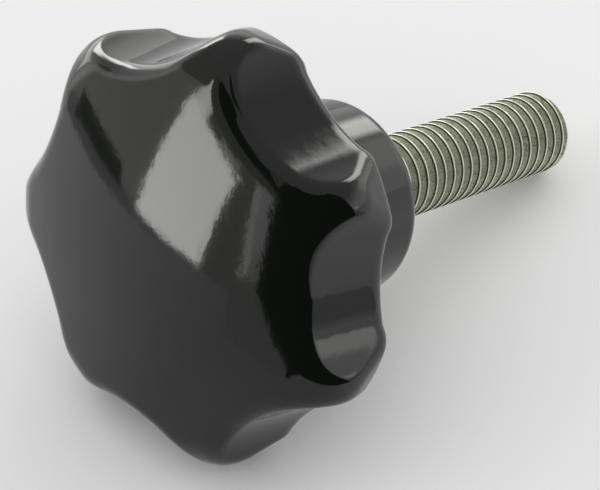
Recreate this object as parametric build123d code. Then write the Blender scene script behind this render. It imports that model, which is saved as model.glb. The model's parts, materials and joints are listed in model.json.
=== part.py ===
from build123d import *
import os
from math import acos, asin, atan2, cos, degrees, pi, radians, sin, sqrt, tan

# A seven-lobed hand knob with a moulded-in threaded stud, in millimetres.
# It is modelled on its own axis: the hub's seat face is at height 0, the domed head is
# above it and the stud points down. Then it is laid down as it comes to rest, on two
# lobes and the stud's tip, with the floor at height 0 and the stud towards +X.

# Head
HEAD_DIAMETER = 40.0
HEAD_THICKNESS = 12.0
CROWN_RADIUS = 62.0
SHOULDER_RADIUS = 5.0
FLANK_SLOPE = 19.0
BACK_EDGE_RADIUS = 1.5

# Flutes that leave the lobes between them
LOBES = 7
FLUTE_RADIUS = 15.4
FLUTE_DEPTH = 3.3
FLUTE_LEAN = 7.3
FLUTE_EDGE_RADIUS = 2.2
LAND_SHARE = 0.9

# Hub
HUB_DIAMETER = 18.0
HUB_LENGTH = 14.0
HUB_DRAFT = 1.5
HUB_EDGE_RADIUS = 1.8
HUB_ROOT_RADIUS = 0.8

# Stud outside the hub
THREAD_DIAMETER = 8.0
STUD_REACH = 28.5
TIP_CHAMFER = 1.0

# Small countersink around the stud at the seat face
MOUTH_GAP = 0.2

# Stud's anchoring end inside the moulding: a plain blank with two grooved collars
BLANK_DIAMETER = 7.1
COLLAR_DIAMETER = 10.0
COLLAR_LENGTH = 4.0
COLLAR_CHAMFER = 0.6
COLLAR_GAP = 2.5
ANCHOR_COVER = 3.0
KNURL_GROOVES = 24
KNURL_DEPTH = 0.45

TILT_STEPS = 4


def head_profile():
    """Half section of the round head: crown arc, shoulder arc, sloped flank, flat back."""
    back = HUB_LENGTH
    apex = back + HEAD_THICKNESS
    crown_centre = apex - CROWN_RADIUS
    shoulder_x = HEAD_DIAMETER / 2 - SHOULDER_RADIUS
    inner_radius = CROWN_RADIUS - SHOULDER_RADIUS
    shoulder_z = crown_centre + sqrt(inner_radius**2 - shoulder_x**2)
    crown_end = asin(shoulder_x / inner_radius)
    shoulder_end = radians(90 + FLANK_SLOPE)

    def on_crown(angle):
        return CROWN_RADIUS * sin(angle), crown_centre + CROWN_RADIUS * cos(angle)

    def on_shoulder(angle):
        x = shoulder_x + SHOULDER_RADIUS * sin(angle)
        return x, shoulder_z + SHOULDER_RADIUS * cos(angle)

    flank_x, flank_z = on_shoulder(shoulder_end)
    foot_x = flank_x - (flank_z - back) * tan(radians(FLANK_SLOPE))
    middle = (crown_end + shoulder_end) / 2
    with BuildSketch(Plane.XZ) as section:
        with BuildLine():
            ThreePointArc((0, apex), on_crown(crown_end / 2), on_crown(crown_end))
            ThreePointArc(on_shoulder(crown_end), on_shoulder(middle), (flank_x, flank_z))
            Polyline((flank_x, flank_z), (foot_x, back), (0, back), (0, apex))
        make_face()
    return section.sketch


def flute_cutters():
    """Round cutters between the lobes, leaning inwards so that a flute deepens to the front."""
    length = 4 * HEAD_THICKNESS
    axis_x = HEAD_DIAMETER / 2 - FLUTE_DEPTH + FLUTE_RADIUS
    widest = Pos(axis_x, 0, HUB_LENGTH + HEAD_THICKNESS / 2)
    cutter = widest * Rot(0, -FLUTE_LEAN, 0) * Cylinder(FLUTE_RADIUS, length)
    pitch = 360 / LOBES
    return [Rot(0, 0, pitch * (index + 0.5)) * cutter for index in range(LOBES)]


def flute_edge_radius():
    """Rounding of the flutes' rims, limited by the land that is left on a lobe."""
    outer = HEAD_DIAMETER / 2
    centre = outer - FLUTE_DEPTH + FLUTE_RADIUS
    half_opening = acos((outer**2 + centre**2 - FLUTE_RADIUS**2) / (2 * outer * centre))
    turn = asin(centre * sin(half_opening) / FLUTE_RADIUS)
    half_land = outer * (pi / LOBES - half_opening)
    return min(FLUTE_EDGE_RADIUS, LAND_SHARE * half_land / tan(turn / 2))


def fluted_head():
    """The head with its flutes cut, and their edges and the back edge rounded."""
    head = revolve(head_profile(), Axis.Z) - flute_cutters()
    walls = head.faces().filter_by(GeomType.CYLINDER)
    rims = [edge for edge in walls.edges() if edge.center().Z > HUB_LENGTH + BACK_EDGE_RADIUS]
    head = fillet(rims, flute_edge_radius())
    back_face = head.faces().sort_by(Axis.Z)[0]
    return fillet(back_face.edges(), BACK_EDGE_RADIUS)


def hub():
    """Drafted round hub from the seat face up into the head."""
    top = HUB_LENGTH + HEAD_THICKNESS / 2
    radius = HUB_DIAMETER / 2
    top_radius = radius + top * tan(radians(HUB_DRAFT))
    body = Pos(0, 0, top / 2) * Cone(radius, top_radius, top)
    return fillet(body.edges().sort_by(Axis.Z)[0], HUB_EDGE_RADIUS)


def moulding():
    """Head and hub in one piece, with a small radius where the hub leaves the head."""
    body = fluted_head() + hub()
    root = [
        edge
        for edge in body.edges().filter_by(GeomType.CIRCLE)
        if abs(edge.center().Z - HUB_LENGTH) < HUB_ROOT_RADIUS / 2 and edge.radius < HUB_DIAMETER
    ]
    return fillet(root, HUB_ROOT_RADIUS)


def mouth():
    """Countersink that keeps the seat face clear of the thread."""
    wide = THREAD_DIAMETER / 2 + MOUTH_GAP
    narrow = BLANK_DIAMETER / 2
    depth = wide - narrow
    return Pos(0, 0, depth / 2) * Cone(wide, narrow, depth)


def collar(bottom):
    """Straight-knurled collar of the anchoring end, chamfered at both ends."""
    radius = COLLAR_DIAMETER / 2
    body = Pos(0, 0, bottom + COLLAR_LENGTH / 2) * Cylinder(radius, COLLAR_LENGTH)
    body = chamfer(body.edges(), COLLAR_CHAMFER)
    groove_side = KNURL_DEPTH * sqrt(2)
    groove = Rot(0, 0, 45) * Box(groove_side, groove_side, COLLAR_LENGTH)
    middle = bottom + COLLAR_LENGTH / 2
    pitch = 360 / KNURL_GROOVES
    return body - [
        Rot(0, 0, pitch * index) * Pos(radius, 0, middle) * groove
        for index in range(KNURL_GROOVES)
    ]


def stud():
    """Steel stud: a thread at its outer diameter up to the seat face, then the moulded-in end."""
    upper = HUB_LENGTH + HEAD_THICKNESS - ANCHOR_COVER - COLLAR_LENGTH
    lower = upper - COLLAR_GAP - COLLAR_LENGTH
    threaded = Pos(0, 0, -STUD_REACH / 2) * Cylinder(THREAD_DIAMETER / 2, STUD_REACH)
    threaded = chamfer(threaded.edges().sort_by(Axis.Z)[0], TIP_CHAMFER)
    blank = Pos(0, 0, upper / 2) * Cylinder(BLANK_DIAMETER / 2, upper)
    return threaded + blank + collar(lower) + collar(upper)


def laid_down(shape, tilt):
    """Turn a shape so that its stud points along +X and falls by the tilt."""
    return Rot(0, tilt - 90, 0) * shape


def resting_tilt(head, shaft):
    """Tilt at which the lobes and the stud's tip reach equally low."""
    tilt = degrees(atan2(HEAD_DIAMETER / 2 - THREAD_DIAMETER / 2, HUB_LENGTH + STUD_REACH))
    for _ in range(TILT_STEPS):
        gap = (
            laid_down(shaft, tilt).bounding_box().min.Z
            - laid_down(head, tilt).bounding_box().min.Z
        )
        tilt += degrees(atan2(gap, HUB_LENGTH + STUD_REACH))
    return tilt


def knob():
    """Both pieces as they lie, centred over the floor's origin."""
    shaft = stud()
    head = moulding() - mouth() - shaft
    tilt = resting_tilt(head, shaft)
    pieces = {
        "knob_head": laid_down(head, tilt),
        "threaded_stud": laid_down(shaft, tilt),
    }
    box = Compound(list(pieces.values())).bounding_box()
    place = Pos(-box.center().X, -box.center().Y, -box.min.Z)
    return {name: place * piece for name, piece in pieces.items()}


if __name__ == "__main__":
    os.makedirs("parts", exist_ok=True)
    for name, piece in knob().items():
        export_step(piece, f"parts/{name}.step")
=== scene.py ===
import json
import math

import bpy
from bpy.props import FloatProperty, FloatVectorProperty, IntProperty, PointerProperty
from mathutils import Matrix, Vector


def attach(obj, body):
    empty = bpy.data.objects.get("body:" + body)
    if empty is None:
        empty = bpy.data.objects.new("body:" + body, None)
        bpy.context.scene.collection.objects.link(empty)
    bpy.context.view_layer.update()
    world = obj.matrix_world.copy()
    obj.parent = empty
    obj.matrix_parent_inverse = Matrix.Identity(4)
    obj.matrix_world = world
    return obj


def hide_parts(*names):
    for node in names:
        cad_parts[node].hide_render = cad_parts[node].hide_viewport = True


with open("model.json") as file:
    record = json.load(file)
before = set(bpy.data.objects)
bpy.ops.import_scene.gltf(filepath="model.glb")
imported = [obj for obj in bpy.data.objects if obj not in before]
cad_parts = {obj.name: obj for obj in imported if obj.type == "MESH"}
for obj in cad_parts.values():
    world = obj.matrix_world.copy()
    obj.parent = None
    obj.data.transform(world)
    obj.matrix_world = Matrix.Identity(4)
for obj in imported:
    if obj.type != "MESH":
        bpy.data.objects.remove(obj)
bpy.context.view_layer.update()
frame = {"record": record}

bl_info = {
    "name": "Lobed hand knob",
    "version": (1, 0, 0),
    "blender": (4, 5, 0),
    "location": "3D View > Sidebar > Knob",
    "description": "Finishes a moulded lobed hand knob with a threaded steel stud",
    "category": "Object",
}

MM = 0.001


def mount(name):
    """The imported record's mount of a name."""
    return next(row for row in frame["record"]["mounts"] if row["name"] == name)


# The knob's axis, seat face and stud, from the record's mounts
STUD = mount("stud")
STUD_LENGTH = STUD["dims"]["length_mm"] * MM
STUD_RADIUS = STUD["dims"]["r_mm"] * MM
AXIS = Vector(STUD["axis"])
SEAT = Vector(STUD["pos_m"]) - AXIS * (STUD_LENGTH / 2)


def knob_frame():
    """Places the knob's own frame: seat face at its origin, head up, one lobe along its X."""
    up = -AXIS
    across = Vector((0, 1, 0))
    turn = Matrix((across.cross(up), across, up)).transposed()
    return Matrix.Translation(SEAT) @ turn.to_4x4()


KNOB_FRAME = knob_frame()


class Wire:
    """One node socket. Arithmetic on it adds Math nodes to its tree."""

    def __init__(self, nodes, socket):
        self.nodes = nodes
        self.socket = socket

    def __add__(self, other):
        return self.nodes.math("ADD", self, other)

    def __radd__(self, other):
        return self.nodes.math("ADD", other, self)

    def __sub__(self, other):
        return self.nodes.math("SUBTRACT", self, other)

    def __rsub__(self, other):
        return self.nodes.math("SUBTRACT", other, self)

    def __mul__(self, other):
        return self.nodes.math("MULTIPLY", self, other)

    def __rmul__(self, other):
        return self.nodes.math("MULTIPLY", other, self)

    def __truediv__(self, other):
        return self.nodes.math("DIVIDE", self, other)

    def __rtruediv__(self, other):
        return self.nodes.math("DIVIDE", other, self)

    def __gt__(self, other):
        return self.nodes.math("GREATER_THAN", self, other)

    def __lt__(self, other):
        return self.nodes.math("LESS_THAN", self, other)


class Nodes:
    """Adds nodes to one tree."""

    def __init__(self, tree):
        self.tree = tree

    def add(self, kind, settings=None, inputs=None, output=0):
        """Add a node: its settings come first, then its sockets get values or links."""
        node = self.tree.nodes.new(kind)
        for name, value in (settings or {}).items():
            setattr(node, name, value)
        for key, value in (inputs or {}).items():
            if isinstance(value, Wire):
                self.feed(value, node.inputs[key])
            else:
                node.inputs[key].default_value = value
        return None if output is None else Wire(self, node.outputs[output])

    def feed(self, wire, socket):
        """Link a wire to a node's input."""
        self.tree.links.new(wire.socket, socket)

    def math(self, operation, *values):
        """A Math node on one to three values."""
        return self.add("ShaderNodeMath", {"operation": operation}, dict(enumerate(values)))

    def vector(self, operation, *values, output=0):
        """A Vector Math node on one or more values."""
        return self.add(
            "ShaderNodeVectorMath", {"operation": operation}, dict(enumerate(values)), output
        )

    def scale(self, way, factor):
        """A vector times a value."""
        return self.add(
            "ShaderNodeVectorMath", {"operation": "SCALE"}, {0: way, "Scale": factor}
        )

    def combine(self, x, y, z):
        """A vector of three values."""
        return self.add("ShaderNodeCombineXYZ", None, {"X": x, "Y": y, "Z": z})

    def split(self, way):
        """The three values of a vector."""
        first = self.add("ShaderNodeSeparateXYZ", None, {0: way})
        return [Wire(self, output) for output in first.socket.node.outputs]

    def ramp(self, value, start, end):
        """0 where a value hasn't reached the start, 1 where it is past the end."""
        return self.add("ShaderNodeMapRange", None, {0: value, 1: start, 2: end})

    def noise(self, point, scale, detail):
        """An even random pattern."""
        return self.add(
            "ShaderNodeTexNoise", None, {"Vector": point, "Scale": scale, "Detail": detail}
        )

    def bump(self, height, distance):
        """A normal that follows a height pattern of so much relief."""
        return self.add(
            "ShaderNodeBump", None, {"Strength": 1.0, "Distance": distance, "Height": height}
        )

    def choose(self, factor, low, high, kind="FLOAT"):
        """Low where the factor is 0, high where it is 1."""
        slots = {"FLOAT": (0, 2, 3, 0), "VECTOR": (0, 4, 5, 1), "RGBA": (0, 6, 7, 2)}[kind]
        inputs = {slots[0]: factor, slots[1]: low, slots[2]: high}
        return self.add("ShaderNodeMix", {"data_type": kind}, inputs, slots[3])


class ShapeTree(Nodes):
    """A Geometry Nodes tree with named size inputs, which is used once and turned to a mesh."""

    def __init__(self, name, sizes):
        super().__init__(bpy.data.node_groups.new(name, "GeometryNodeTree"))
        interface = self.tree.interface
        interface.new_socket("Geometry", in_out="OUTPUT", socket_type="NodeSocketGeometry")
        for label, value in sizes.items():
            whole = isinstance(value, int)
            socket = interface.new_socket(
                label, in_out="INPUT", socket_type="NodeSocketInt" if whole else "NodeSocketFloat"
            )
            socket.default_value = value
        self.sizes = sizes
        self.entry = self.tree.nodes.new("NodeGroupInput")

    def size(self, label):
        """A named input of the tree."""
        return Wire(self, self.entry.outputs[label])

    def merged(self, shape, distance):
        """A shape whose points at the same place are one point."""
        inputs = {"Geometry": shape, "Distance": distance}
        return self.add("GeometryNodeMergeByDistance", None, inputs)

    def finish(self, shape, material):
        """End the tree in real geometry with its material."""
        real = self.add("GeometryNodeRealizeInstances", None, {0: shape})
        painted = self.add(
            "GeometryNodeSetMaterial", None, {"Geometry": real, "Material": material}
        )
        leave = self.tree.nodes.new("NodeGroupOutput")
        self.feed(painted, leave.inputs[0])

    def piece(self, name, place):
        """Run the tree and keep its result as a plain mesh piece in its place."""
        holder = bpy.data.objects.new(name + "_maker", bpy.data.meshes.new(name + "_maker"))
        bpy.context.scene.collection.objects.link(holder)
        modifier = holder.modifiers.new("Shape", "NODES")
        modifier.node_group = self.tree
        for item in self.tree.interface.items_tree:
            if item.in_out == "INPUT":
                modifier[item.identifier] = self.sizes[item.name]
        bpy.context.view_layer.update()
        evaluated = holder.evaluated_get(bpy.context.evaluated_depsgraph_get())
        mesh = bpy.data.meshes.new_from_object(evaluated)
        bpy.data.objects.remove(holder)
        mesh.name = name
        mesh.transform(place)
        mesh.shade_smooth()
        mesh.validate()
        piece = bpy.data.objects.new(name, mesh)
        bpy.context.scene.collection.objects.link(piece)
        return piece


def material(name):
    """A new material, its nodes and its surface shader's sockets."""
    made = bpy.data.materials.new(name)
    made.use_nodes = True
    shader = made.node_tree.nodes["Principled BSDF"]
    return made, Nodes(made.node_tree), shader


class KnobSizes(bpy.types.PropertyGroup):
    """Sizes of the moulded head and the stud."""

    head_diameter: FloatProperty(
        name="Head diameter", description="Across the lobes", default=40.0 * MM,
        unit="LENGTH", precision=5,
    )
    head_thickness: FloatProperty(
        name="Head thickness", description="From the flat back to the crown's middle",
        default=12.0 * MM, unit="LENGTH", precision=5,
    )
    crown_radius: FloatProperty(
        name="Crown radius", description="Radius of the domed front", default=62.0 * MM,
        unit="LENGTH", precision=5,
    )
    shoulder_radius: FloatProperty(
        name="Shoulder radius", description="Rounding between crown and flank",
        default=5.0 * MM, unit="LENGTH", precision=5,
    )
    flank_slope: FloatProperty(
        name="Flank slope", description="How far the lobes' outside leans from the axis",
        default=math.radians(19.0), subtype="ANGLE",
    )
    back_edge: FloatProperty(
        name="Back edge radius", description="Rounding of the lobes' back edge",
        default=1.5 * MM, unit="LENGTH", precision=5,
    )
    lobes: IntProperty(name="Lobes", description="Lobes around the head", default=7, min=3)
    flute_radius: FloatProperty(
        name="Flute radius", description="Radius of the hollows between the lobes",
        default=15.4 * MM, unit="LENGTH", precision=5,
    )
    flute_depth: FloatProperty(
        name="Flute depth", description="Depth of a flute at half the head's thickness",
        default=3.3 * MM, unit="LENGTH", precision=5,
    )
    flute_lean: FloatProperty(
        name="Flute lean", description="How far a flute leans inwards to the front",
        default=math.radians(7.3), subtype="ANGLE",
    )
    flute_edge: FloatProperty(
        name="Flute edge radius", description="Rounding of the flutes' rims",
        default=2.2 * MM, unit="LENGTH", precision=5,
    )
    hub_diameter: FloatProperty(
        name="Hub diameter", description="Across the hub at its seat face",
        default=18.0 * MM, unit="LENGTH", precision=5,
    )
    hub_length: FloatProperty(
        name="Hub length", description="From the seat face to the head's back",
        default=14.0 * MM, unit="LENGTH", precision=5,
    )
    hub_draft: FloatProperty(
        name="Hub draft", description="Taper of the hub's wall", default=math.radians(1.5),
        subtype="ANGLE",
    )
    hub_edge: FloatProperty(
        name="Hub edge radius", description="Rounding of the hub's end", default=1.8 * MM,
        unit="LENGTH", precision=5,
    )
    hub_root: FloatProperty(
        name="Hub root radius", description="Rounding where the hub leaves the head",
        default=0.8 * MM, unit="LENGTH", precision=5,
    )
    lobe_sides: IntProperty(
        name="Sides in a lobe", description="Faces around one lobe", default=60, min=12,
    )
    pitch: FloatProperty(
        name="Thread pitch", description="Advance of the thread in one turn",
        default=1.25 * MM, unit="LENGTH", precision=5,
    )
    turn_start: FloatProperty(
        name="Thread start", description="Angle at which a crest leaves the seat face",
        default=0.0, subtype="ANGLE",
    )
    tip_chamfer: FloatProperty(
        name="Tip chamfer", description="Chamfer at the stud's free end",
        default=1.0 * MM, unit="LENGTH", precision=5,
    )
    blank_diameter: FloatProperty(
        name="Blank diameter", description="Diameter of the stud where it has no thread",
        default=7.1 * MM, unit="LENGTH", precision=5,
    )
    collar_diameter: FloatProperty(
        name="Collar diameter", description="Diameter of the moulded-in knurled collars",
        default=10.0 * MM, unit="LENGTH", precision=5,
    )
    stud_sides: IntProperty(
        name="Stud sides", description="Faces around the stud", default=112, min=24,
    )
    pitch_rows: IntProperty(
        name="Rows in a turn", description="Faces along one turn of the thread",
        default=16, min=16,
    )


class KnobColours(bpy.types.PropertyGroup):
    """Colours of the finishes."""

    moulding: FloatVectorProperty(
        name="Moulding", description="Colour of the black moulded plastic",
        default=(0.0022, 0.0036, 0.0022), subtype="COLOR", size=3,
    )
    zinc: FloatVectorProperty(
        name="Zinc", description="Colour of the plated steel",
        default=(0.64, 0.66, 0.51), subtype="COLOR", size=3,
    )
    zinc_dull: FloatVectorProperty(
        name="Dull zinc", description="Colour of the plating where it has dulled",
        default=(0.38, 0.40, 0.29), subtype="COLOR", size=3,
    )
    crest: FloatVectorProperty(
        name="Crest", description="Colour of the thread's rubbed crests",
        default=(0.90, 0.91, 0.78), subtype="COLOR", size=3,
    )
    # Colour of the dirt specks and of the dark band just below the thread's crests
    dirt_and_dark_band: FloatVectorProperty(
        name="Dirt", description="Colour of the specks and the dirt in the thread",
        default=(0.02, 0.02, 0.015), subtype="COLOR", size=3,
    )
    floor: FloatVectorProperty(
        name="Floor", description="Colour of the studio floor",
        default=(0.86, 0.86, 0.86), subtype="COLOR", size=3,
    )


# Thread's depth and the flats of its crest and root, as shares of the pitch
THREAD_DEPTH = 0.5413
CREST_FLAT = 0.125
ROOT_FLAT = 0.25

# Turns of rows beyond the stud's ends, and the share of a turn that closes an end
SPARE_TURNS = 3
END_SHARE = 0.9

# Distances within which points are joined to one
STUD_MERGE = 0.001 * MM
HEAD_MERGE = 0.002 * MM

# Stud's hidden end above the seat face, as in the moulding
ANCHOR_TOP = 23.0 * MM
COLLAR_LENGTH = 4.0 * MM
COLLAR_GAP = 2.5 * MM
COLLAR_GROOVES = 24
GROOVE_DEPTH = 0.45 * MM

# Plating's pattern: noise scales of its specks, patches and fine grain
SPECK_SCALE = 6500.0
PATCH_SCALE = 1100.0
GRAIN_SCALE = 9000.0
GRAIN_RELIEF = 0.012 * MM

# Bands below a crest: how much they waver, the rubbed one, and where the dark one
# starts and ends
BAND_WAVER = 0.04 * MM
RUBBED_BAND = (0.035 * MM, 0.015 * MM)
DARK_BAND_START = (0.02 * MM, 0.045 * MM)
DARK_BAND_END = (0.19 * MM, 0.13 * MM)
# How dark the band below a crest is
DARK_BAND_STRENGTH = 0.95

# Dull plating: shares of the patches and specks in it, and where their sum counts as dull
PATCH_IN_DULL = 0.6
SPECK_IN_DULL = 0.9
DULL_RANGE = (0.62, 0.92)

# Dirt specks: share of the patches in them, where they count, how strong they are off the
# tip, and the share of the stud's length at which the tip starts
PATCH_IN_DIRT = 0.5
DIRT_RANGE = (0.86, 1.0)
DIRT_OFF_TIP = 0.35
TIP_START = 0.6

# Plating's roughness and metallic part, with what dulling adds and rubbing takes or adds
ZINC_ROUGHNESS = 0.5
DULL_ROUGHNESS = 0.1
RUBBED_ROUGHNESS = 0.2
ZINC_METAL = 0.65
RUBBED_METAL = 0.25

# Moulding's gloss and the unevenness of its polish
MOULDING_ROUGHNESS = 0.065
MOULDING_IOR = 1.6
POLISH_SCALE = 600.0
POLISH_RELIEF = 0.01 * MM


def zinc_material(colours):
    """Plated steel: rubbed bright crests, satin olive valleys, dirt specks and a dark band below the
    crests.
    """
    made, nodes, shader = material("zinc_plate")
    point = nodes.add("ShaderNodeTexCoord", output="Object")
    away = nodes.vector("SUBTRACT", point, SEAT)
    depth = nodes.vector("DOT_PRODUCT", away, AXIS, output=1)
    radius = nodes.vector("LENGTH", nodes.vector("CROSS_PRODUCT", away, AXIS), output=1)
    speck = nodes.noise(point, SPECK_SCALE, 2.0)
    patch = nodes.noise(point, PATCH_SCALE, 2.0)
    below = STUD_RADIUS - radius + BAND_WAVER * (speck - 0.5)
    tip = nodes.ramp(depth, TIP_START * STUD_LENGTH, STUD_LENGTH)
    dull = nodes.ramp(PATCH_IN_DULL * patch + SPECK_IN_DULL * speck, *DULL_RANGE)
    valley = nodes.choose(dull, (*colours.zinc, 1), (*colours.zinc_dull, 1), "RGBA")
    # A dark band just below each crest, laid over the plating's colour
    band = DARK_BAND_STRENGTH * (nodes.ramp(below, *DARK_BAND_START) * nodes.ramp(below, *DARK_BAND_END))
    specks = nodes.ramp(speck + PATCH_IN_DIRT * patch, *DIRT_RANGE)
    specks = specks * (DIRT_OFF_TIP + (1 - DIRT_OFF_TIP) * tip)
    dirt_and_dark_band = nodes.math("MAXIMUM", band, specks)
    marked = nodes.choose(dirt_and_dark_band, valley, (*colours.dirt_and_dark_band, 1), "RGBA")
    rubbed = nodes.ramp(below, *RUBBED_BAND)
    base = nodes.choose(rubbed, marked, (*colours.crest, 1), "RGBA")
    nodes.feed(base, shader.inputs["Base Color"])
    rough = ZINC_ROUGHNESS + DULL_ROUGHNESS * dull - RUBBED_ROUGHNESS * rubbed
    nodes.feed(rough, shader.inputs["Roughness"])
    nodes.feed(ZINC_METAL + RUBBED_METAL * rubbed, shader.inputs["Metallic"])
    grain = nodes.noise(point, GRAIN_SCALE, 1.0)
    nodes.feed(nodes.bump(grain, GRAIN_RELIEF), shader.inputs["Normal"])
    return made


def stud_tree(sizes, zinc):
    """The stud as one tube whose rows follow the thread's helix, closed at both ends."""
    full_reach = STUD_LENGTH + sizes.tip_chamfer
    tree = ShapeTree("Threaded stud", {
        "Pitch": sizes.pitch,
        "Outer radius": STUD_RADIUS,
        "Blank radius": sizes.blank_diameter / 2,
        "Collar radius": sizes.collar_diameter / 2,
        "Reach": full_reach,
        "Tip chamfer": sizes.tip_chamfer,
        "Start": sizes.turn_start,
        "Sides": sizes.stud_sides,
        "Turn rows": sizes.pitch_rows,
    })
    length, reach = tree.size("Pitch"), tree.size("Reach")
    turns = math.ceil((ANCHOR_TOP + full_reach) / sizes.pitch) + SPARE_TURNS
    sides, turn_rows = tree.size("Sides"), tree.size("Turn rows")
    grid, around, along = unit_grid(tree, sides, turn_rows * turns)
    along = along * turns
    depth = (along + around) * length - ANCHOR_TOP - 2 * length
    phase = tree.math("FRACT", along)
    outer, blank = tree.size("Outer radius"), tree.size("Blank radius")
    slope = tree.math("ABSOLUTE", phase - 0.5) * 2
    rise = (slope - ROOT_FLAT) / (1 - ROOT_FLAT - CREST_FLAT)
    rise = tree.math("MINIMUM", tree.math("MAXIMUM", rise, 0.0), 1.0)
    thread = outer - (1 - rise) * length * THREAD_DEPTH
    chamfer = outer - (depth - reach + tree.size("Tip chamfer"))
    thread = tree.math("MINIMUM", thread, chamfer)
    radius = tree.choose(depth > 0.0, blank, thread)
    turn = (around * (2 * math.pi)) + tree.size("Start")
    ridge = tree.math("PINGPONG", around * COLLAR_GROOVES, 0.5) * 2
    collar = tree.size("Collar radius") - ridge * GROOVE_DEPTH
    upper = ANCHOR_TOP - COLLAR_LENGTH
    for foot in (upper, upper - COLLAR_GAP - COLLAR_LENGTH):
        inside = (depth < -foot) * (depth > -foot - COLLAR_LENGTH)
        radius = tree.choose(inside, radius, collar)
    level = tree.math("MINIMUM", tree.math("MAXIMUM", depth, -ANCHOR_TOP), reach)
    past = tree.math("ABSOLUTE", depth - level) / (length * END_SHARE)
    radius = radius * tree.math("MAXIMUM", 1 - past, 0.0)
    place = tree.combine(
        radius * tree.math("COSINE", turn), radius * tree.math("SINE", turn), 0 - level
    )
    shaped = tree.add("GeometryNodeSetPosition", None, {"Geometry": grid, "Position": place})
    closed = tree.merged(shaped, STUD_MERGE)
    turned = tree.add("GeometryNodeFlipFaces", None, {0: closed})
    tree.finish(turned, zinc)
    return tree


# Ring inside the lobes, from which the rows of the head's surface fan out: its radius,
# the length at which a row's search for the surface starts, and the steps of that search
FAN_RADIUS = 12.0 * MM
FAN_START = 3.0 * MM
FAN_STEPS = 9
FAN_ROWS = 76
CROWN_ROWS = 20

# Limits that keep divisions away from zero: squared sine between two surfaces, and how
# squarely a row meets the surface
LEAST_SPREAD = 0.001
LEAST_FACING = 0.35

# Share of a lobe's pitch that keeps a row on a lobe's start from falling to the one before
START_GUARD = 0.0001

# Countersink around the stud at the seat face
MOUTH_GAP = 0.2 * MM
MOUTH_EDGE = 0.06 * MM
FILLET_ROWS = 10


def choose_surface(tree, factor, first, second):
    """The distance to one of two surfaces and the way out of it."""
    gap = tree.choose(factor, first[0], second[0])
    return gap, tree.choose(factor, first[1], second[1], "VECTOR")


def rounded_corner(tree, first, second, radius):
    """Distance to two surfaces that a ball of a radius joins, and the way out of them."""
    (first_gap, first_way), (second_gap, second_way) = first, second
    turn = tree.vector("DOT_PRODUCT", first_way, second_way, output=1)
    spread = tree.math("MAXIMUM", 1 - turn * turn, LEAST_SPREAD)
    first_in, second_in = first_gap + radius, second_gap + radius
    first_share = (first_in - turn * second_in) / spread
    second_share = (second_in - turn * first_in) / spread
    ball = tree.vector(
        "ADD", tree.scale(first_way, first_share), tree.scale(second_way, second_share)
    )
    on_ball = tree.math("MINIMUM", first_share, second_share) > 0
    nearer = choose_surface(tree, second_gap > first_gap, first, second)
    rounding = (
        tree.vector("LENGTH", ball, output=1) - radius,
        tree.vector("NORMALIZE", ball),
    )
    return choose_surface(tree, on_ball, nearer, rounding)


def head_surface(tree, point, flute):
    """Distance of a point outside the fluted head, and the way out of it there."""
    size = tree.size
    x, y, z = tree.split(point)
    flat = tree.combine(x, y, 0.0)
    out = tree.vector("NORMALIZE", flat)
    rho = tree.vector("LENGTH", flat, output=1)
    radius, round_over = size("Crown radius"), size("Shoulder radius")
    crown_middle = size("Hub length") + size("Head thickness") - radius
    from_middle = tree.combine(x, y, z - crown_middle)
    crown = (
        tree.vector("LENGTH", from_middle, output=1) - radius,
        tree.vector("NORMALIZE", from_middle),
    )
    shoulder_rho = size("Head diameter") / 2 - round_over
    inner = radius - round_over
    drop = tree.math("SQRT", inner * inner - shoulder_rho * shoulder_rho)
    slope = size("Flank slope")
    lean_out, lean_down = tree.math("COSINE", slope), tree.math("SINE", slope)
    flank = (
        (rho - shoulder_rho) * lean_out - (z - crown_middle - drop) * lean_down - round_over,
        tree.vector("SUBTRACT", tree.scale(out, lean_out), tree.combine(0.0, 0.0, lean_down)),
    )
    beside, above = rho - shoulder_rho, z - crown_middle - drop
    from_ring = tree.vector("ADD", tree.scale(out, beside), tree.combine(0.0, 0.0, above))
    shoulder = (
        tree.vector("LENGTH", from_ring, output=1) - round_over,
        tree.vector("NORMALIZE", from_ring),
    )
    past_crown = beside * drop > above * shoulder_rho
    past_flank = beside * lean_down + above * lean_out > 0
    side = choose_surface(tree, past_flank, flank, shoulder)
    body = choose_surface(tree, past_crown, crown, side)
    flute_radius, lean = size("Flute radius"), size("Flute lean")
    reach = size("Head diameter") / 2 - size("Flute depth") + flute_radius
    half_up = size("Hub length") + size("Head thickness") / 2
    foot = tree.vector("ADD", tree.scale(flute, reach), tree.combine(0.0, 0.0, half_up))
    along = tree.vector(
        "SUBTRACT",
        tree.combine(0.0, 0.0, tree.math("COSINE", lean)),
        tree.scale(flute, tree.math("SINE", lean)),
    )
    aside = tree.vector("SUBTRACT", point, foot)
    aside = tree.vector("SUBTRACT", aside, tree.vector("PROJECT", aside, along))
    wall = (
        flute_radius - tree.vector("LENGTH", aside, output=1),
        tree.scale(tree.vector("NORMALIZE", aside), -1.0),
    )
    fluted = rounded_corner(tree, body, wall, size("Flute edge radius"))
    back = (size("Hub length") - z, (0.0, 0.0, -1.0))
    return rounded_corner(tree, fluted, back, size("Back edge radius"))


def unit_grid(tree, columns, rows):
    """A grid whose points tell how far around and how far along they lie, from 0 to 1."""
    grid = tree.add("GeometryNodeMeshGrid", None, {
        "Size X": 1.0, "Size Y": 1.0, "Vertices X": columns + 1, "Vertices Y": rows + 1,
    })
    x, y, _ = tree.split(tree.add("GeometryNodeInputPosition"))
    return grid, x + 0.5, y + 0.5


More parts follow.
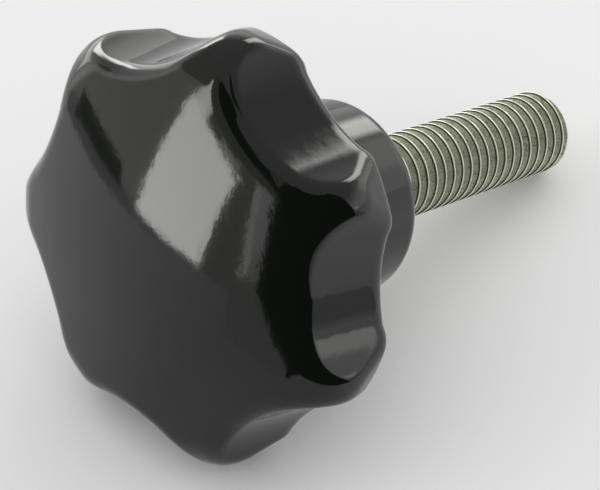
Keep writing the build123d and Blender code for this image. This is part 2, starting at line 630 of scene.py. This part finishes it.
def head_part(tree, columns):
    """Crown, lobes, flutes and back: rows fan out from a ring inside until they meet the surface."""
    rows = CROWN_ROWS + FAN_ROWS
    grid, around, along = unit_grid(tree, columns, rows)
    angle = around * (2 * math.pi)
    pitch = (2 * math.pi) / tree.size("Lobes")
    middle = (tree.math("FLOOR", angle / pitch + START_GUARD) + 0.5) * pitch
    flute = tree.combine(tree.math("COSINE", middle), tree.math("SINE", middle), 0.0)
    out = tree.combine(tree.math("COSINE", angle), tree.math("SINE", angle), 0.0)
    row = along * rows
    share = tree.math("MINIMUM", row / CROWN_ROWS, 1.0)
    fan = tree.math("MAXIMUM", row - CROWN_ROWS, 0.0) / FAN_ROWS
    rise = (0.5 - fan) * math.pi
    up = tree.combine(0.0, 0.0, tree.math("SINE", rise))
    way = tree.vector("ADD", tree.scale(out, tree.math("COSINE", rise)), up)
    level = tree.size("Hub length") + tree.size("Head thickness") / 2
    start = tree.vector("ADD", tree.scale(out, share * FAN_RADIUS), tree.combine(0.0, 0.0, level))
    zone = tree.tree.nodes.new("GeometryNodeRepeatInput")
    zone_end = tree.tree.nodes.new("GeometryNodeRepeatOutput")
    zone.pair_with_output(zone_end)
    zone_end.repeat_items.clear()
    zone_end.repeat_items.new("FLOAT", "Reach")
    zone.inputs["Iterations"].default_value = FAN_STEPS
    zone.inputs["Reach"].default_value = FAN_START
    reach = Wire(tree, zone.outputs["Reach"])
    point = tree.vector("ADD", start, tree.scale(way, reach))
    gap, out_way = head_surface(tree, point, flute)
    facing_it = tree.vector("DOT_PRODUCT", way, out_way, output=1)
    nearer = reach - gap / tree.math("MAXIMUM", facing_it, LEAST_FACING)
    tree.feed(nearer, zone_end.inputs["Reach"])
    point = tree.vector("ADD", start, tree.scale(way, Wire(tree, zone_end.outputs["Reach"])))
    return tree.add("GeometryNodeSetPosition", None, {"Geometry": grid, "Position": point})


def pick(tree, index, values, kind="FLOAT"):
    """The value that a list has at an index."""
    picked = values[0]
    for place, value in enumerate(values[1:], 1):
        picked = tree.choose(index > place - 0.5, picked, value, kind)
    return picked


def hub_part(tree, columns):
    """Hub and seat face: an outline with rounded corners, turned about the axis."""
    size = tree.size
    wall = size("Hub diameter") / 2
    root = wall + size("Hub length") * tree.math("TANGENT", size("Hub draft"))
    mouth, back = size("Mouth radius"), size("Hub length")
    corners = [(FAN_RADIUS, back), (root, back), (wall, 0.0), (mouth, 0.0), (0.0, mouth)]
    radii = [0.0, size("Hub root radius"), size("Hub edge radius"), MOUTH_EDGE, 0.0]
    line = tree.add("GeometryNodeMeshLine", None, {"Count": len(corners)})
    index = tree.add("GeometryNodeInputIndex")
    places = [tree.combine(rho, 0.0, height) for rho, height in corners]
    place = pick(tree, index, places, "VECTOR")
    line = tree.add("GeometryNodeSetPosition", None, {"Geometry": line, "Position": place})
    outline = tree.add("GeometryNodeMeshToCurve", None, {0: line})
    outline = tree.add("GeometryNodeFilletCurve", {"mode": "POLY"}, {
        "Curve": outline, "Count": FILLET_ROWS, "Radius": pick(tree, index, radii),
    })
    rows = len(corners) - 1 + (len(corners) - 2) * FILLET_ROWS
    grid, around, along = unit_grid(tree, columns, rows)
    held = tree.add(
        "GeometryNodeSampleIndex", {"data_type": "FLOAT_VECTOR", "domain": "POINT", "clamp": True},
        {
            "Geometry": outline,
            "Value": tree.add("GeometryNodeInputPosition"),
            "Index": tree.math("ROUND", along * rows),
        },
    )
    rho, _, height = tree.split(held)
    angle = around * (2 * math.pi)
    place = tree.combine(
        rho * tree.math("COSINE", angle), rho * tree.math("SINE", angle), height
    )
    return tree.add("GeometryNodeSetPosition", None, {"Geometry": grid, "Position": place})


def head_tree(sizes, black):
    """The whole moulding: head and hub share a ring of points on the flat back."""
    tree = ShapeTree("Lobed head", {
        "Head diameter": sizes.head_diameter,
        "Head thickness": sizes.head_thickness,
        "Crown radius": sizes.crown_radius,
        "Shoulder radius": sizes.shoulder_radius,
        "Flank slope": sizes.flank_slope,
        "Back edge radius": sizes.back_edge,
        "Lobes": sizes.lobes,
        "Flute radius": sizes.flute_radius,
        "Flute depth": sizes.flute_depth,
        "Flute lean": sizes.flute_lean,
        "Flute edge radius": sizes.flute_edge,
        "Hub diameter": sizes.hub_diameter,
        "Hub length": sizes.hub_length,
        "Hub draft": sizes.hub_draft,
        "Hub edge radius": sizes.hub_edge,
        "Hub root radius": sizes.hub_root,
        "Mouth radius": STUD_RADIUS + MOUTH_GAP,
        "Lobe sides": sizes.lobe_sides,
    })
    columns = tree.size("Lobes") * tree.size("Lobe sides")
    joined = tree.tree.nodes.new("GeometryNodeJoinGeometry")
    for part in (hub_part(tree, columns), head_part(tree, columns)):
        tree.feed(part, joined.inputs[0])
    closed = tree.merged(Wire(tree, joined.outputs[0]), HEAD_MERGE)
    turned = tree.add("GeometryNodeFlipFaces", None, {0: closed})
    tree.finish(turned, black)
    return tree


def moulding_material(colours):
    """Glossy black thermoset with a slightly uneven polish."""
    made, nodes, shader = material("black_moulding")
    shader.inputs["Base Color"].default_value = (*colours.moulding, 1)
    shader.inputs["Roughness"].default_value = MOULDING_ROUGHNESS
    shader.inputs["IOR"].default_value = MOULDING_IOR
    point = nodes.add("ShaderNodeTexCoord", output="Object")
    wave = nodes.noise(point, POLISH_SCALE, 3.0)
    nodes.feed(nodes.bump(wave, POLISH_RELIEF), shader.inputs["Normal"])
    return made


class KNOB_OT_stud(bpy.types.Operator):
    """Make the threaded steel stud"""

    bl_idname = "knob.make_stud"
    bl_label = "Make the stud"

    def execute(self, context):
        sizes, colours = context.scene.knob_sizes, context.scene.knob_colours
        tree = stud_tree(sizes, zinc_material(colours))
        stud = tree.piece("steel_stud", KNOB_FRAME)
        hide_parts("threaded_stud")
        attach(stud, "root")
        return {"FINISHED"}


class KNOB_OT_head(bpy.types.Operator):
    """Finish the moulded head"""

    bl_idname = "knob.make_head"
    bl_label = "Finish the head"

    def execute(self, context):
        sizes, colours = context.scene.knob_sizes, context.scene.knob_colours
        tree = head_tree(sizes, moulding_material(colours))
        head = tree.piece("moulded_head", KNOB_FRAME)
        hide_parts("knob_head")
        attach(head, "root")
        return {"FINISHED"}


# Camera: the point it looks at, how it looks there, its lens in millimetres, and the
# distances in metres between which it sees
VIEW_TARGET = Vector((-8.35, -2.05, 12.61)) * MM
VIEW_AZIMUTH = math.radians(43.72)
VIEW_HEIGHT = math.radians(42.01)
VIEW_ROLL = math.radians(1.99)
VIEW_DISTANCE = 256.5 * MM
FOCAL_LENGTH = 172.85
SENSOR_WIDTH = 36.0
CLIP_START = 0.01
CLIP_END = 20.0

# Floor: its side in metres and its finish
FLOOR_SIZE = 4.0
FLOOR_ROUGHNESS = 0.8
FLOOR_SPECULAR = 0.2

# Lamps: azimuth and height in degrees, distance and side in metres, level
LAMPS = {
    "right_lamp": (75, 32, 1.0, 0.7, 0.9),
    "left_lamp": (-60, 22, 1.0, 0.8, 0.8),
}
LAMP_TARGET = Vector((0, 0, 10)) * MM

# Level at which the surroundings light the knob
WORLD_LEVEL = 0.88

# Levels that the gloss reflects below the horizon, above it and overhead, and the heights
# between which one turns into the next, as sines
REFLECTED_LEVELS = (0.42, 1.0, 0.38)
HORIZON = (-0.15, 0.0)
OVERHEAD = (0.25, 0.6)

# Cards: distance of the nearest and gap to the next in metres, side of a face in degrees,
# and the colour of their light
CARD_DISTANCE = 8.0
CARD_GAP = 0.05
CARD_STEP = 6.0
CARD_TINT = (1.0, 1.0, 0.94, 1)

# Patches of the surroundings that the gloss reflects, the nearest first: four corners as
# azimuth and height, from the lower left on, then the level and the width of the soft edge
CARDS = {
    "window": (((-65.1, -9.3), (-50.5, -9.3), (-53.4, 12.8), (-68.3, 7.5)), 5.1, 0.4),
    "window_head": (((-58.5, 10.5), (-54.0, 10.5), (-53, 42), (-56.5, 42)), 4.0, 0.8),
    "bright_strip": (((-74.4, -6), (-72.7, -6), (-71.4, 9.5), (-73.0, 9.5)), 1.5, 0.4),
    "window_frame": (((-72.5, -9.3), (-65.5, -9.3), (-67.5, 10), (-73, 10)), 0.42, 0.3),
    "shelf": (((-78, -10), (-72, -9.3), (-73, -5.5), (-75, -5.5)), 0.45, 0.4),
    "skirting": (((-47, -9.3), (-32, -8.9), (-32, -4.2), (-46, -5.2)), 0.12, 0.8),
    "bright_wall": (((-30, -20), (-8, -20), (-8, 24), (-34, 24)), 1.3, 9.0),
    "wall": (((-52, -9.3), (-12, -6), (-12, 22), (-56, 22)), 0.74, 1.5),
    "wall_above": (((-62, 21), (-12, 21), (-12, 64), (-62, 64)), 0.38, 0.6),
    "above_window": (((-76, 8.5), (-57, 11), (-57, 64), (-76, 64)), 0.3, 0.6),
    "room_corner": (((-84.5, -20), (-76, -7), (-74, 62), (-84.5, 62)), 0.03, 0.4),
    "room": (((-207, -20), (-84, -20), (-84, 68), (-207, 68)), 0.03, 0.6),
    "right_window": (((61, 6), (83, 8), (87, 40), (64, 38)), 4.4, 7.0),
    "back_window": (((10, 10), (38, 8), (36, 28), (12, 28)), 6.8, 6.0),
    "back_wall": (((-12, -14), (39, -14), (39, 14), (-12, 14)), 2.6, 7.0),
    "side_wall": (((34, -10), (62, -10), (62, 20), (34, 20)), 1.2, 6.0),
    "side_spot": (((141, -4), (152, -4), (150, 10), (140, 10)), 1.9, 4.5),
    "right_wall": (((84, -10), (114, -10), (114, 24), (84, 24)), 1.35, 7.0),
}

# Sheet that the knob reflects: its outline as azimuths and distances in millimetres
SHEET = (
    (153, 3000), (153, 72), (180, 72), (-155, 72), (-130, 72), (-110, 72), (-90, 75),
    (-83, 85), (-77, 156), (-58, 143), (-45, 153), (-33, 178), (-20, 230), (0, 400),
    (30, 1000), (60, 3000), (110, 3000),
)

# Two sides on which the sheet's colour is darkened as painted shade: azimuth, share of
# its colour there, and where it turns dim, as cosines from that azimuth
PAINTED_SHADE_SIDE = (-115, 0.45, (0.1, 0.85))
PAINTED_SHADE_STUD_SIDE = (100, 0.72, (-0.1, 0.4))

# Painted light on the sheet: how much paler than the floor its colour is made, the share of
# its colour at which it glows to make up for the shadow on it, and the distances between
# which that glow sets in
SHEET_PAINTED_LIFT = 1.14
SHEET_PAINTED_GLOW = 0.3
PAINTED_GLOW_RANGE = (18 * MM, 45 * MM)


def direction(azimuth, height):
    """Unit vector towards an azimuth from +Y over +X and a height, in degrees."""
    azimuth, height = math.radians(azimuth), math.radians(height)
    flat = math.cos(height)
    return Vector((flat * math.sin(azimuth), flat * math.cos(azimuth), math.sin(height)))


def facing(place, target):
    """Matrix of an object that stands at a place and looks at a target along its -Z."""
    look = (target - place).to_track_quat("-Z", "Y")
    return Matrix.Translation(place) @ look.to_matrix().to_4x4()


def add_camera():
    """The camera, at the angle and distance from which the knob is seen."""
    flat = math.cos(VIEW_HEIGHT)
    way = Vector((
        flat * math.sin(VIEW_AZIMUTH), flat * math.cos(VIEW_AZIMUTH), -math.sin(VIEW_HEIGHT)
    ))
    data = bpy.data.cameras.new("camera")
    data.lens = FOCAL_LENGTH
    data.sensor_width = SENSOR_WIDTH
    data.clip_start = CLIP_START
    data.clip_end = CLIP_END
    camera = bpy.data.objects.new("camera", data)
    camera.matrix_world = facing(VIEW_TARGET - way * VIEW_DISTANCE, VIEW_TARGET) @ Matrix.Rotation(
        -VIEW_ROLL, 4, "Z"
    )
    bpy.context.scene.collection.objects.link(camera)
    bpy.context.scene.camera = camera


def add_card(name, order, corners, level, soft):
    """A glowing patch of the surroundings between four directions, for reflections."""
    low_left, low_right, high_right, high_left = (Vector(corner) for corner in corners)
    wide, high = (low_right - low_left).length, (high_left - low_left).length
    columns, rows = max(1, round(wide / CARD_STEP)), max(1, round(high / CARD_STEP))
    shares = [(i / columns, j / rows) for j in range(rows + 1) for i in range(columns + 1)]
    distance = CARD_DISTANCE + order * CARD_GAP
    points = []
    for u, v in shares:
        low, top = low_left.lerp(low_right, u), high_left.lerp(high_right, u)
        points.append(direction(*low.lerp(top, v)) * distance)
    faces = [
        (at, at + 1, at + columns + 2, at + columns + 1)
        for row in range(rows)
        for at in range(row * (columns + 1), row * (columns + 1) + columns)
    ]
    mesh = bpy.data.meshes.new(name)
    mesh.from_pydata(points, [], faces)
    mesh.transform(Matrix.Translation(VIEW_TARGET))
    layer = mesh.uv_layers.new(name="UVMap")
    for loop in mesh.loops:
        layer.data[loop.index].uv = shares[loop.vertex_index]
    mesh.materials.append(card_material(name, wide, high, level, soft))
    card = bpy.data.objects.new(name, mesh)
    show_only_in_reflections(card)
    bpy.context.scene.collection.objects.link(card)


def card_material(name, wide, high, level, soft):
    """A glow that fades out within so many degrees of a card's edges."""
    made = bpy.data.materials.new(name)
    made.use_nodes = True
    made.node_tree.nodes.clear()
    nodes = Nodes(made.node_tree)
    u, v, _ = nodes.split(nodes.add("ShaderNodeTexCoord", output="UV"))
    from_sides = nodes.math("PINGPONG", u, 0.5) * wide
    from_ends = nodes.math("PINGPONG", v, 0.5) * high
    inside = nodes.math("MINIMUM", from_sides, from_ends) / soft
    shown = nodes.add("ShaderNodeMapRange", {"interpolation_type": "SMOOTHSTEP"}, {0: inside})
    glow = nodes.add("ShaderNodeEmission", None, {"Color": CARD_TINT, "Strength": level})
    clear = nodes.add("ShaderNodeBsdfTransparent")
    mixed = nodes.add("ShaderNodeMixShader", None, {0: shown, 1: clear, 2: glow})
    nodes.add("ShaderNodeOutputMaterial", None, {"Surface": mixed}, None)
    return made


def show_only_in_reflections(thing):
    """Hide a thing from everything but glossy rays."""
    for kind in ("camera", "diffuse", "transmission", "volume_scatter", "shadow"):
        setattr(thing, "visible_" + kind, False)


def add_lamp(name, azimuth, height, distance, side, level):
    """A soft square lamp of a radiance level, facing the knob."""
    data = bpy.data.lights.new(name, "AREA")
    data.shape = "SQUARE"
    data.size = side
    data.energy = level * math.pi * side * side
    lamp = bpy.data.objects.new(name, data)
    lamp.matrix_world = facing(direction(azimuth, height) * distance, LAMP_TARGET)
    lamp.visible_glossy = False
    bpy.context.scene.collection.objects.link(lamp)


def add_world():
    """Even pale surroundings, which the gloss sees darker overhead."""
    world = bpy.data.worlds.new("surroundings")
    world.use_nodes = True
    nodes = Nodes(world.node_tree)
    back = world.node_tree.nodes["Background"]
    rays = nodes.add("ShaderNodeLightPath")
    camera, glossy, through = (
        Wire(nodes, rays.socket.node.outputs[label])
        for label in ("Is Camera Ray", "Is Glossy Ray", "Is Transmission Ray")
    )
    shown = nodes.math("MAXIMUM", camera, nodes.math("MAXIMUM", glossy, through))
    _, _, height = nodes.split(nodes.add("ShaderNodeTexCoord"))
    below, above, overhead = REFLECTED_LEVELS
    risen = nodes.choose(nodes.ramp(height, *HORIZON), below, above)
    reflected = nodes.choose(nodes.ramp(height, *OVERHEAD), risen, overhead)
    level = nodes.choose(shown, WORLD_LEVEL, reflected)
    nodes.feed(level, back.inputs["Strength"])
    back.inputs["Color"].default_value = (1, 1, 1, 1)
    bpy.context.scene.world = world


def add_floor(name, corners, paint):
    """A flat pale sheet at floor level."""
    mesh = bpy.data.meshes.new(name)
    mesh.from_pydata(corners, [], [tuple(range(len(corners)))])
    mesh.materials.append(paint)
    floor = bpy.data.objects.new(name, mesh)
    bpy.context.scene.collection.objects.link(floor)
    return floor


def matt_material(name):
    """A matt material, as the floor's."""
    made, nodes, shader = material(name)
    shader.inputs["Roughness"].default_value = FLOOR_ROUGHNESS
    shader.inputs["Specular IOR Level"].default_value = FLOOR_SPECULAR
    return made, nodes, shader


def add_floors(colours):
    """The floor, and the smaller sheet of it that shows in the gloss."""
    made, _, shader = matt_material("floor")
    shader.inputs["Base Color"].default_value = (*colours.floor, 1)
    half = FLOOR_SIZE / 2
    square = [(-half, -half, 0), (half, -half, 0), (half, half, 0), (-half, half, 0)]
    floor = add_floor("floor", square, made)
    floor.visible_glossy = False
    outline = [direction(azimuth, 0) * distance * MM for azimuth, distance in SHEET]
    show_only_in_reflections(add_floor("sheet", outline, sheet_material(colours)))


def sheet_material(colours):
    """The floor's colour as the gloss sees it, painted paler, with painted shade on two sides and a
    painted glow.
    """
    made, nodes, shader = matt_material("sheet")
    point = nodes.add("ShaderNodeTexCoord", output="Object")
    way = nodes.vector("NORMALIZE", point)
    # Painted light: the sheet's colour is made paler than the floor's
    shade = nodes.combine(*(Vector(colours.floor) * SHEET_PAINTED_LIFT))
    # Painted shade: the sheet's colour darkens towards two sides
    for azimuth, share, turning in (PAINTED_SHADE_SIDE, PAINTED_SHADE_STUD_SIDE):
        towards = nodes.vector("DOT_PRODUCT", way, direction(azimuth, 0), output=1)
        dimmed = nodes.scale(shade, share)
        shade = nodes.choose(nodes.ramp(towards, *turning), shade, dimmed, "RGBA")
    # Painted light: the sheet glows, and more so away from the knob
    reach = nodes.vector("LENGTH", point, output=1)
    glow = nodes.scale(shade, nodes.ramp(reach, *PAINTED_GLOW_RANGE))
    nodes.feed(shade, shader.inputs["Base Color"])
    nodes.feed(glow, shader.inputs["Emission Color"])
    shader.inputs["Emission Strength"].default_value = SHEET_PAINTED_GLOW
    return made


class KNOB_OT_stage(bpy.types.Operator):
    """Set up the floor, the soft light and the camera"""

    bl_idname = "knob.make_stage"
    bl_label = "Set up the stage"

    def execute(self, context):
        context.scene.view_settings.view_transform = "Standard"
        add_camera()
        add_world()
        add_floors(context.scene.knob_colours)
        for name, lamp in LAMPS.items():
            add_lamp(name, *lamp)
        for order, (name, card) in enumerate(CARDS.items()):
            add_card(name, order, *card)
        return {"FINISHED"}


class KNOB_PT_panel(bpy.types.Panel):
    """Lists the steps that make the knob"""

    bl_idname = "KNOB_PT_panel"
    bl_label = "Lobed hand knob"
    bl_space_type = "VIEW_3D"
    bl_region_type = "UI"
    bl_category = "Knob"

    def draw(self, context):
        for step in STEPS:
            self.layout.operator(step.bl_idname)
        for group in (context.scene.knob_sizes, context.scene.knob_colours):
            box = self.layout.box()
            for label in group.bl_rna.properties.keys():
                if label not in ("rna_type", "name"):
                    box.prop(group, label)


STEPS = (KNOB_OT_head, KNOB_OT_stud, KNOB_OT_stage)
CLASSES = (KnobSizes, KnobColours, *STEPS, KNOB_PT_panel)


def register():
    """Register the classes and hang the settings on the scene."""
    for cls in CLASSES:
        bpy.utils.register_class(cls)
    bpy.types.Scene.knob_sizes = PointerProperty(type=KnobSizes)
    bpy.types.Scene.knob_colours = PointerProperty(type=KnobColours)


def unregister():
    """Take the settings and the classes away again."""
    del bpy.types.Scene.knob_colours
    del bpy.types.Scene.knob_sizes
    for cls in reversed(CLASSES):
        bpy.utils.unregister_class(cls)


def main():
    """Make the pieces and the stage in order."""
    register()
    bpy.ops.knob.make_head()
    bpy.ops.knob.make_stud()
    bpy.ops.knob.make_stage()


if __name__ == "__main__":
    main()
